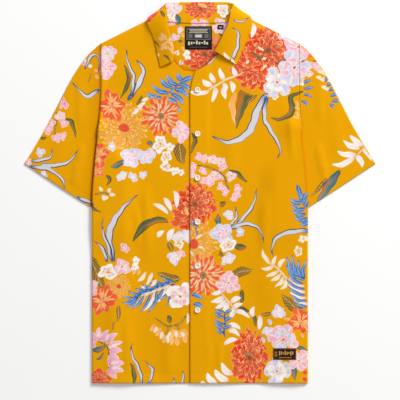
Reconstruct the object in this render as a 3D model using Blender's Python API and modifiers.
"""Hawaiian shirt laid flat on a surface, front up, its sides tucked under.

Metres. +X is towards the wearer's left sleeve, +Y towards the collar, +Z up from the surface.
Lengths along the shirt are given as heights above the hem. The origin is the middle of the
shirt's outline, on the surface. Run with blender --background --python part.py
"""

import math

import bmesh
import bpy
from mathutils import Vector

MM = 0.001

# Cloth
CLOTH = 1.0 * MM
GAP = 0.3 * MM
LAYER = CLOTH + GAP
COLLAR_CLOTH = 1.6 * MM

# Outline of the shirt as it lies, from the hem up
OVERALL_LENGTH = 762 * MM
HALF_BODY = 216 * MM
HALF_CHEST = 273 * MM
HALF_ACROSS_SHOULDERS = 198 * MM
TAPER_FROM, TAPER_TO = 350 * MM, 600 * MM
SHOULDER_POINT_HEIGHT = 734 * MM
SHOULDER_DROP = 0.5
NECK_MIDDLE = -1 * MM
NECK_HALF_WIDTH = 88 * MM
NECK_BACK_DROP = 13 * MM
ARMPIT_HEIGHT = 417 * MM
TUCK_TOP = 505 * MM
TUCK_FADE = 70 * MM
TUCK_LEAST = 4 * MM
EDGE_DROP, EDGE_DROP_WIDTH = 16 * MM, 34 * MM
YOKE_LEVEL = 600 * MM

# Front closure
CENTRE_FRONT = -5 * MM
LAP = 15 * MM
LAP_RAMP = 15 * MM
LAP_LEAN = 11 * MM
LAP_LEAN_FROM, LAP_LEAN_TO = 570 * MM, 624 * MM

# Sleeve
SLEEVE_TIP = Vector((351.5 * MM, 439 * MM))
SLEEVE_OPENING = 204 * MM
CUFF_DIRECTION = Vector((-0.837, -0.547))
CAP_REACH = 37 * MM

# The body slopes up onto what is tucked beneath it, and is level from just inside the seam out
SLOPE_WIDTH = 27 * MM
LEVEL_INSIDE_SEAM, LEVEL_INSIDE_EDGE = 3 * MM, 10 * MM
SLEEVE_RISE_FROM, SLEEVE_RISE_TO = 250 * MM, 318 * MM

# At the back of the neck the panels rise over the turned-down collar
COLLAR_RISE = 2.4 * MM
COLLAR_RISE_FROM, COLLAR_RISE_TO = 660 * MM, 710 * MM
COLLAR_RISE_HALF_WIDTH, COLLAR_RISE_FADE = 92 * MM, 23 * MM

# Buttons and labels
BUTTON_RADIUS = 5.6 * MM
BUTTON_HEIGHT = 2.2 * MM
SHANK_RADIUS = 1.1 * MM
BUTTON_COUNT = 6
LOWEST_BUTTON = 146 * MM
BUTTON_PITCH = 88 * MM
BUTTONHOLE_LENGTH, BUTTONHOLE_WIDTH = 13 * MM, 2.8 * MM
THREAD_HOLE_RADIUS, THREAD_HOLE_PITCH = 0.8 * MM, 2.8 * MM

# name: (left, right, bottom, top), the two bottom and top as heights above the hem
NECK_LABELS = {
    "neck_label": (-30 * MM, 24 * MM, 667 * MM, 713 * MM),
    "size_tab": (35 * MM, 47 * MM, 707 * MM, 716 * MM),
    "care_tab": (54 * MM, 62 * MM, 706 * MM, 716 * MM),
}
HEM_LABEL = (146 * MM, 192 * MM, 47 * MM, 70 * MM)

# Top edge of each front from the overlap to the shoulder, in millimetres: x, height.
LEFT_NECKLINE = (
    *((-20, 624), (-5, 625), (2, 629), (14, 636), (32, 654), (50, 665), (66, 680)),
    *((77, 697), (84, 714), (88, 734)),
)
RIGHT_NECKLINE = (
    *((10, 624), (-2, 624), (-14, 622.5), (-32, 625), (-50, 640), (-66, 659)),
    *((-77, 680), (-84, 697), (-88, 734)),
)

# The collar from its right front end, round the back, to its left one, in millimetres.
# neck: where it is sewn to the neckline. roll: the middle of its fold. turn: the way the fold
# faces, 0 away from the neck, 90 up, 180 towards the neck. edge: its free outer edge.
COLLAR_SECTIONS = (
    # neck x, y, z          roll x, y, z             turn   edge x, y, z
    ((-61, 651, 3.9), (-54.5, 643, 7.0), 170, (-79.5, 631, 4.0)),
    ((-69, 664, 4.1), (-54, 668, 9.4), 175, (-84.5, 655.5, 4.1)),
    ((-77, 680, 4.9), (-59, 688, 11.0), 175, (-90, 679, 4.6)),
    ((-84, 697, 6.0), (-64, 707, 11.4), 170, (-96.5, 699, 6.0)),
    ((-86, 714, 6.4), (-66.5, 728, 10.8), 155, (-105, 718, 6.6)),
    ((-86.5, 725, 6.4), (-67, 743, 9.4), 125, (-104.5, 728, 6.4)),
    ((-84, 728, 5.4), (-69, 755.5, 6.8), 90, (-94.5, 735.5, 1.2)),
    ((-74, 724.5, 4.9), (-63, 758.2, 4.2), 45, (-81, 725, 0.85)),
    ((-56, 721, 4.6), (-54, 760.2, 2.0), 8, (-62, 714, 0.8)),
    ((-31, 719.5, 4.6), (-31, 760.2, 1.75), 0, (-33, 712, 0.8)),
    ((-1, 719, 4.6), (-1, 760.2, 1.75), 0, (-1, 712, 0.8)),
    ((29, 719.5, 4.6), (29, 760.2, 1.75), 0, (31, 712, 0.8)),
    ((54, 721, 4.6), (52, 760.2, 2.0), 8, (60, 714, 0.8)),
    ((71, 724.5, 4.9), (60, 758.2, 4.2), 45, (78, 725, 0.85)),
    ((80, 728, 5.3), (66, 755.5, 6.8), 90, (91.5, 737, 1.2)),
    ((84, 725, 6.0), (62.5, 743, 9.4), 125, (102, 729.5, 6.4)),
    ((84, 714, 6.0), (60, 729, 10.8), 155, (103.5, 718, 6.6)),
    ((77, 698, 5.8), (55, 711, 11.4), 165, (96.5, 698, 5.8)),
    ((69, 684, 4.9), (46.5, 694, 11.0), 160, (90, 678, 4.6)),
    ((57, 672, 4.2), (38.5, 678, 9.4), 155, (81.5, 657, 4.1)),
    ((45, 662, 4.0), (30, 663, 7.0), 150, (72.5, 636, 4.0)),
)
ROLL_RADIUS = 0.95 * MM

COTTON_YELLOW = (0.80, 0.36, 0.01)
LABEL_BLACK = (0.02, 0.02, 0.022)
LABEL_OXBLOOD = (0.07, 0.012, 0.016)
BUTTON_CREAM = (0.86, 0.82, 0.74)


def smooth(t):
    """0 below t = 0, 1 above t = 1, with a soft start and end."""
    t = min(1.0, max(0.0, t))
    return t * t * (3 - 2 * t)


def body_edge(y):
    """Half width of the laid body at height y."""
    narrowing = smooth((y - TAPER_FROM) / (TAPER_TO - TAPER_FROM))
    return HALF_BODY - (HALF_BODY - HALF_ACROSS_SHOULDERS) * narrowing


def shoulder(x):
    return SHOULDER_POINT_HEIGHT - SHOULDER_DROP * (abs(x) - NECK_HALF_WIDTH)


def back_top(x):
    """Height of the back's top edge: a shallow half ellipse at the neck, then the shoulder."""
    across = abs(x - NECK_MIDDLE) / NECK_HALF_WIDTH
    if across < 1:
        return SHOULDER_POINT_HEIGHT - NECK_BACK_DROP * math.sqrt(1 - across * across)
    return min(SHOULDER_POINT_HEIGHT, shoulder(x))


def front_top(x, points):
    """Height of a front's top edge: straight between the points, then the shoulder."""
    for (x_a, y_a), (x_b, y_b) in zip(points, points[1:]):
        along = (x / MM - x_a) / (x_b - x_a)
        if along <= 1:
            return (y_a + (y_b - y_a) * max(0, along)) * MM
    return shoulder(x)


def side_seam(y):
    """Where the tucked strip ends: the side seam, and above the armpit the armhole seam."""
    inner = HALF_BODY - (HALF_CHEST - HALF_BODY)
    if y <= ARMPIT_HEIGHT:
        return inner
    up = min(1.0, (y - ARMPIT_HEIGHT) / (TUCK_TOP - ARMPIT_HEIGHT))
    outer = body_edge(TUCK_TOP) - TUCK_LEAST
    return inner + (outer - inner) * math.sin(up * math.pi / 2)


def level_from(y):
    """Distance from the middle beyond which the body lies level on the tucked strips."""
    return min(side_seam(y) - LEVEL_INSIDE_SEAM, body_edge(y) - LEVEL_INSIDE_EDGE)


def support(x, y):
    """Height of what lies under the back panel: tucked strips, a sleeve's corner, the collar."""
    strips = 2 * LAYER
    sleeve = 2 * LAYER * smooth((y - SLEEVE_RISE_FROM) / (SLEEVE_RISE_TO - SLEEVE_RISE_FROM))
    fade = 1 - smooth((y - TUCK_TOP) / TUCK_FADE)
    near_edge = smooth((abs(x) - body_edge(y) + EDGE_DROP_WIDTH) / EDGE_DROP_WIDTH)
    fade *= 1 - near_edge * smooth((y - TUCK_TOP) / EDGE_DROP)
    tucked = (strips + sleeve) * fade * smooth((abs(x) - level_from(y)) / SLOPE_WIDTH + 1)
    return tucked + COLLAR_RISE * over_collar(x, y)


def over_collar(x, y):
    """1 where the collar's fall lies under the back of the neck, fading to 0 around it."""
    up = smooth((y - COLLAR_RISE_FROM) / (COLLAR_RISE_TO - COLLAR_RISE_FROM))
    across = 1 - smooth((abs(x - NECK_MIDDLE) - COLLAR_RISE_HALF_WIDTH) / COLLAR_RISE_FADE)
    return up * across


def lap_edge(y):
    """Where the left front's edge lies: straight up, then leaning away as it nears the neck."""
    up = min(1.0, max(0.0, (y - LAP_LEAN_FROM) / (LAP_LEAN_TO - LAP_LEAN_FROM)))
    return CENTRE_FRONT - LAP + LAP_LEAN * up * up


def back_level(x, y):
    """Height of the middle of the back panel's wall."""
    return CLOTH / 2 + support(x, y)


def front_level(x, y, over_lap):
    """Height of the middle of a front panel's wall. The left front climbs over the right."""
    climb = smooth((CENTRE_FRONT + LAP + LAP_RAMP - x) / LAP_RAMP) if over_lap else 0
    return back_level(x, y) + LAYER * (1 + climb) + 2 * GAP * over_collar(x, y)


def material(name, colour, roughness):
    made = bpy.data.materials.new(name)
    made.use_nodes = True
    shader = made.node_tree.nodes["Principled BSDF"]
    shader.inputs["Base Color"].default_value = (*colour, 1)
    shader.inputs["Roughness"].default_value = roughness
    return made


def new_object(name, mesh, collection, finish):
    made = bpy.data.objects.new(name, mesh)
    made.data.materials.append(finish)
    collection.objects.link(made)
    return made


def grid_mesh(name, columns, rows, place, kept=None, closed=False):
    """A grid with one vertex for each column and row, each moved to place(column, row).

    place gives x, height above the hem, z. Faces whose first column and row fail kept are
    left out. A closed grid is a tube: its last column meets its first.
    """
    wide, tall = len(columns) - 1, len(rows) - 1
    bm = bmesh.new()
    bmesh.ops.create_grid(bm, x_segments=wide, y_segments=tall, size=1)
    at = {v: (round((v.co.x + 1) / 2 * wide), round((v.co.y + 1) / 2 * tall)) for v in bm.verts}
    if kept:
        out = [f for f in bm.faces if not kept(*[min(at[v][k] for v in f.verts) for k in (0, 1)])]
        bmesh.ops.delete(bm, geom=out, context="FACES")
    for v in bm.verts:
        i, j = at[v]
        x, y, z = place(columns[i], rows[j])
        v.co = (x, y - OVERALL_LENGTH / 2, z)
    if closed:
        bmesh.ops.remove_doubles(bm, verts=bm.verts, dist=0.01 * MM)
    mesh = bpy.data.meshes.new(name)
    bm.to_mesh(mesh)
    bm.free()
    return mesh


def cloth(name, mesh, collection, finish, thickness=CLOTH):
    """An object whose sheet is given its wall, half to each side."""
    made = new_object(name, mesh, collection, finish)
    wall = made.modifiers.new("wall", "SOLIDIFY")
    wall.thickness = thickness
    wall.offset = 0
    made.data.shade_smooth()
    return made


# Columns of a body panel, from the middle out, then round the side and back under it.
# The same distances are used front and back, so that the layers nest. The left front's first
# column is its lap edge.
MIDDLE_COLUMNS = (14, 32, 50, 66, 77, 84, 88, 96, 108)
SLOPE_SHARES = (0, 1 / 3, 2 / 3, 1.0)
OUTER_SHARES = (0.5, 1.0)
BEND_ANGLES = (45, 0, -45, -90)
STRIP_SHARES = (0.5, 1.0)
BODY_ROWS = (
    *(0, 84, 168, 250, 284, 318, 367, 417, 440, 462, 484, 504),
    *(520, 548, 575, 600),
)
NECK_ROW_SHARES = (0.3, 0.55, 0.68, 0.76, 0.84, 0.92, 1.0)
LAST_TUCKED_ROW = BODY_ROWS.index(504)


def side_columns(side):
    """(kind, side, value) for the columns beyond the middle ones, walking out and under."""
    return [
        *[("slope", side, share) for share in SLOPE_SHARES],
        *[("outer", side, share) for share in OUTER_SHARES],
        *[("bend", side, math.radians(angle)) for angle in BEND_ANGLES],
        *[("strip", side, share) for share in STRIP_SHARES],
    ]


def body_rows():
    return [("level", y * MM) for y in BODY_ROWS] + [("neck", share) for share in NECK_ROW_SHARES]


def body_place(level, bend_radius, top):
    """The place function of a panel whose wall is level(x, y) high and whose edge is top(x)."""

    def place(column, row):
        kind, side, value = column
        row_kind, y = row
        tucked = row_kind == "level" and y < TUCK_TOP
        if row_kind == "neck":
            x_top = side * HALF_ACROSS_SHOULDERS if kind == "outer" and value == 1 else None
            x = x_top or column_x(column, YOKE_LEVEL, False)
            y = YOKE_LEVEL + y * (top(x) - YOKE_LEVEL)
        x = column_x(column, y, tucked)
        if kind in ("lap", "middle", "slope", "outer"):
            return x, y, level(x, y)
        bend_centre = level(x, y) - bend_radius
        if kind == "bend":
            around = side * bend_radius * math.cos(value)
            return x + around, y, bend_centre + bend_radius * math.sin(value)
        return x, y, bend_centre - bend_radius

    return place


def column_x(column, y, tucked):
    """Distance of a column from the middle at height y, without the bend's own roundness."""
    kind, side, value = column
    if kind == "middle":
        return value
    if kind == "lap":
        return lap_edge(y)
    if kind == "slope":
        return side * (level_from(y) - SLOPE_WIDTH * (1 - value))
    fold = body_edge(y) - (CLOTH / 2 + 1.5 * LAYER if tucked else 0)
    if kind == "outer":
        return side * (level_from(y) + (fold - level_from(y)) * value)
    if kind == "bend":
        return side * fold
    return side * (fold + (side_seam(y) - fold) * value)


def not_past_the_tuck(first_side_column, last_side_column):
    """Keeps a face unless it is bend or strip above the tuck. Columns outside are always kept."""

    def kept(i, j):
        return j < LAST_TUCKED_ROW or not first_side_column <= i < last_side_column

    return kept


def make_back(collection, finish):
    middle = [("middle", 1, x * MM) for x in MIDDLE_COLUMNS]
    right = [("middle", 1, -x) for _, _, x in reversed(middle)]
    under_right = list(reversed(side_columns(-1)))
    columns = [*under_right, *right, ("middle", 1, 0.0), *middle, *side_columns(1)]
    hidden = len(BEND_ANGLES) + len(STRIP_SHARES)
    first_left = len(columns) - 1 - hidden

    def kept(i, j):
        return j < LAST_TUCKED_ROW or hidden <= i < first_left

    place = body_place(back_level, LAYER / 2, back_top)
    mesh = grid_mesh("back", columns, body_rows(), place, kept)
    return cloth("back", mesh, collection, finish)


def make_front_left(collection, finish):
    inner = [CENTRE_FRONT, 2 * MM, *[x * MM for x in MIDDLE_COLUMNS]]
    columns = [("lap", 1, 0), *[("middle", 1, x) for x in inner]]
    first_side = len(columns) + len(SLOPE_SHARES) + len(OUTER_SHARES) - 1
    columns += side_columns(1)

    def level(x, y):
        return front_level(x, y, True)

    place = body_place(level, 1.5 * LAYER, lambda x: front_top(x, LEFT_NECKLINE))
    kept = not_past_the_tuck(first_side, len(columns))
    mesh = grid_mesh("front_left", columns, body_rows(), place, kept)
    return cloth("front_left", mesh, collection, finish)


def make_front_right(collection, finish):
    lap = [-2 * MM, CENTRE_FRONT + LAP]
    inner = [("middle", 1, -x * MM) for x in reversed(MIDDLE_COLUMNS)]
    columns = list(reversed(side_columns(-1))) + inner + [("middle", 1, x) for x in lap]
    last_side = len(BEND_ANGLES) + len(STRIP_SHARES)

    def level(x, y):
        return front_level(x, y, False)

    place = body_place(level, 1.5 * LAYER, lambda x: front_top(x, RIGHT_NECKLINE))
    mesh = grid_mesh("front_right", columns, body_rows(), place, not_past_the_tuck(0, last_side))
    return cloth("front_right", mesh, collection, finish)


SLEEVE_ROWS = (0, 0.07, 0.15, 0.28, 0.45, 0.7, 1.0)
SLEEVE_SHARES = (0.1, 0.26, 0.44, 0.62, 0.8, 0.93)
SLEEVE_BEND_ANGLES = (90, 45, 0, -45, -90)


def armhole(share):
    """A point of the sleeve's armhole edge, share 0 at the shoulder and 1 at the armpit."""
    top = shoulder(HALF_ACROSS_SHOULDERS)
    y = top + share * (ARMPIT_HEIGHT - top)
    return Vector(((side_seam(y) if y < TUCK_TOP else body_edge(y)) + 2 * GAP, y))


def overarm(along):
    """A point of the sleeve's top fold: round over the cap, then straight to the cuff."""
    start = armhole(0)
    cap = (1 - along) ** 3 * along * 3
    outward = Vector((0.8, 0.6)) * CAP_REACH * cap
    return start.lerp(SLEEVE_TIP, along) + outward


def sleeve_point(along, share):
    """A point of the flat sleeve, blended from its four edges."""
    armpit = armhole(1)
    inner_corner = SLEEVE_TIP + CUFF_DIRECTION * SLEEVE_OPENING
    edges = armhole(share).lerp(SLEEVE_TIP.lerp(inner_corner, share), along)
    sides = overarm(along).lerp(armpit.lerp(inner_corner, along), share)
    start, end = armhole(0).lerp(armpit, share), SLEEVE_TIP.lerp(inner_corner, share)
    return edges + sides - start.lerp(end, along)


def make_sleeve(name, side, collection, finish):
    """A flattened tube: top layer, underarm fold, bottom layer and overarm fold."""
    radius = LAYER / 2
    top = [("flat", share, 1) for share in SLEEVE_SHARES]
    underarm = [("bend", 1, math.radians(a)) for a in SLEEVE_BEND_ANGLES]
    bottom = [("flat", share, -1) for share in reversed(SLEEVE_SHARES)]
    overarm_bend = [("bend", 0, math.radians(a)) for a in reversed(SLEEVE_BEND_ANGLES)]
    ring = [*top, *underarm, *bottom, *overarm_bend, top[0]]

    def place(column, along):
        kind, share, value = column
        across = (sleeve_point(along, 1) - sleeve_point(along, 0)).normalized()
        inset = CLOTH / 2 + radius
        middle = CLOTH / 2 + radius
        if kind == "flat":
            x, y = sleeve_point(along, share)
            return side * x, y, middle + value * radius
        inward = -1 if share == 1 else 1
        x, y = sleeve_point(along, share) + across * inward * (inset - radius * math.cos(value))
        return side * x, y, middle + radius * math.sin(value)

    mesh = grid_mesh(name, ring, SLEEVE_ROWS, place, closed=True)
    return cloth(name, mesh, collection, finish)


STAND_SHARES = (0, 0.5, 0.97)
ROLL_ANGLES = (-90, -45, 0, 45, 90)
FALL_SHARES = (0.03, 0.35, 0.7, 1.0)


def make_collar(collection, finish):
    rolls = [Vector(roll) for _, roll, _, _ in COLLAR_SECTIONS]

    def roll_frame(index, turn):
        along = rolls[min(len(rolls) - 1, index + 1)] - rolls[max(0, index - 1)]
        away = Vector((-along.y, along.x, 0)).normalized()
        turn = math.radians(turn)
        facing = away * math.cos(turn) + Vector((0, 0, 1)) * math.sin(turn)
        to_fall = away * math.sin(turn) - Vector((0, 0, 1)) * math.cos(turn)
        return facing, to_fall

    def place(column, index):
        neck, roll, turn, edge = COLLAR_SECTIONS[index]
        neck, roll, edge = Vector(neck), Vector(roll), Vector(edge)
        facing, to_fall = roll_frame(index, turn)
        kind, value = column
        radius = ROLL_RADIUS / MM
        if kind == "stand":
            point = neck.lerp(roll - to_fall * radius, value)
        elif kind == "roll":
            angle = math.radians(value)
            point = roll + (facing * math.cos(angle) + to_fall * math.sin(angle)) * radius
        else:
            point = (roll + to_fall * radius).lerp(edge, value)
        return point.x * MM, point.y * MM, point.z * MM

    columns = [
        *[("stand", share) for share in STAND_SHARES],
        *[("roll", angle) for angle in ROLL_ANGLES],
        *[("fall", share) for share in FALL_SHARES],
    ]
    mesh = grid_mesh("collar", columns, range(len(rolls)), place)
    return cloth("collar", mesh, collection, finish, COLLAR_CLOTH)


def make_patch(name, bounds, level, collection, finish, steps=(1, 1)):
    """A rectangle of label tape that follows the panel under it."""
    left, right, bottom, top = bounds
    columns = [left + (right - left) * k / steps[0] for k in range(steps[0] + 1)]
    rows = [bottom + (top - bottom) * k / steps[1] for k in range(steps[1] + 1)]

    def place(x, y):
        return x, y, level(x, y)

    return cloth(name, grid_mesh(name, columns, rows, place), collection, finish)


def over_back(x, y):
    return back_level(x, y) + LAYER


def over_front(x, y):
    return front_level(x, y, True) + LAYER


def make_button(name, y, collection, finish, cutters):
    """A turned four-hole button with its thread shank, which goes down through the buttonhole."""
    h, r = BUTTON_HEIGHT, BUTTON_RADIUS
    shank = LAYER
    profile = [
        *[(0, 0.7 * h), (0.58 * r, 0.7 * h), (0.7 * r, h), (0.88 * r, h), (r, 0.75 * h)],
        *[(r, 0.25 * h), (0.9 * r, 0), (SHANK_RADIUS, 0), (SHANK_RADIUS, -shank), (0, -shank)],
    ]
    bm = bmesh.new()
    points = [bm.verts.new((x, 0, z)) for x, z in profile]
    for a, b in zip(points, points[1:]):
        bm.edges.new((a, b))
    mesh = bpy.data.meshes.new(name)
    bm.to_mesh(mesh)
    bm.free()
    button = new_object(name, mesh, collection, finish)
    underside = front_level(CENTRE_FRONT, y, True) + CLOTH / 2 + GAP
    button.location = (CENTRE_FRONT, y - OVERALL_LENGTH / 2, underside)
    turned = button.modifiers.new("turned", "SCREW")
    turned.steps = turned.render_steps = 16
    turned.use_merge_vertices = True
    turned.merge_threshold = 0.01 * MM
    holes = button.modifiers.new("thread_holes", "BOOLEAN")
    holes.operation = "DIFFERENCE"
    holes.object = thread_hole_cutter(name + "_holes", button.location, cutters)
    return button


def thread_hole_cutter(name, where, cutters):
    bm = bmesh.new()
    half = THREAD_HOLE_PITCH / 2
    for x, y in ((half, half), (-half, half), (-half, -half), (half, -half)):
        made = bmesh.ops.create_cone(
            bm,
            cap_ends=True,
            segments=6,
            radius1=THREAD_HOLE_RADIUS,
            radius2=THREAD_HOLE_RADIUS,
            depth=4 * BUTTON_HEIGHT,
        )
        bmesh.ops.translate(bm, vec=(x, y, 0), verts=made["verts"])
    return cutter(name, bm, where, cutters)


def buttonhole_cutter(heights, cutters):
    bm = bmesh.new()
    for y in heights:
        made = bmesh.ops.create_cube(bm, size=1)["verts"]
        size = (BUTTONHOLE_WIDTH, BUTTONHOLE_LENGTH, 6 * CLOTH)
        bmesh.ops.scale(bm, vec=size, verts=made)
        z = front_level(CENTRE_FRONT, y, True)
        bmesh.ops.translate(bm, vec=(CENTRE_FRONT, y - OVERALL_LENGTH / 2, z), verts=made)
    return cutter("buttonholes", bm, (0, 0, 0), cutters)


def cutter(name, bm, where, cutters):
    mesh = bpy.data.meshes.new(name)
    bm.to_mesh(mesh)
    bm.free()
    made = bpy.data.objects.new(name, mesh)
    cutters.objects.link(made)
    made.location = where
    made.hide_render = True
    made.display_type = "WIRE"
    return made


def main():
    for old in list(bpy.data.objects):
        bpy.data.objects.remove(old)
    shirt = bpy.data.collections.new("hawaiian_shirt")
    cutters = bpy.data.collections.new("cutters")
    for collection in (shirt, cutters):
        bpy.context.scene.collection.children.link(collection)

    cotton = material("printed_cotton", COTTON_YELLOW, 0.8)
    black_tape = material("black_label_tape", LABEL_BLACK, 0.6)
    oxblood_tape = material("oxblood_label_tape", LABEL_OXBLOOD, 0.6)
    cream_resin = material("cream_button_resin", BUTTON_CREAM, 0.25)

    make_back(shirt, cotton)
    make_front_right(shirt, cotton)
    front_left = make_front_left(shirt, cotton)
    make_sleeve("sleeve_left", 1, shirt, cotton)
    make_sleeve("sleeve_right", -1, shirt, cotton)
    make_collar(shirt, cotton)

    heights = [LOWEST_BUTTON + k * BUTTON_PITCH for k in range(BUTTON_COUNT)]
    for number, y in enumerate(heights, start=1):
        make_button(f"button_{number}", y, shirt, cream_resin, cutters)
    holes = front_left.modifiers.new("buttonholes", "BOOLEAN")
    holes.operation = "DIFFERENCE"
    holes.object = buttonhole_cutter(heights, cutters)

    for name, bounds in NECK_LABELS.items():
        make_patch(name, bounds, over_back, shirt, black_tape, steps=(1, 5))
    make_patch("hem_label", HEM_LABEL, over_front, shirt, oxblood_tape, steps=(6, 1))


main()
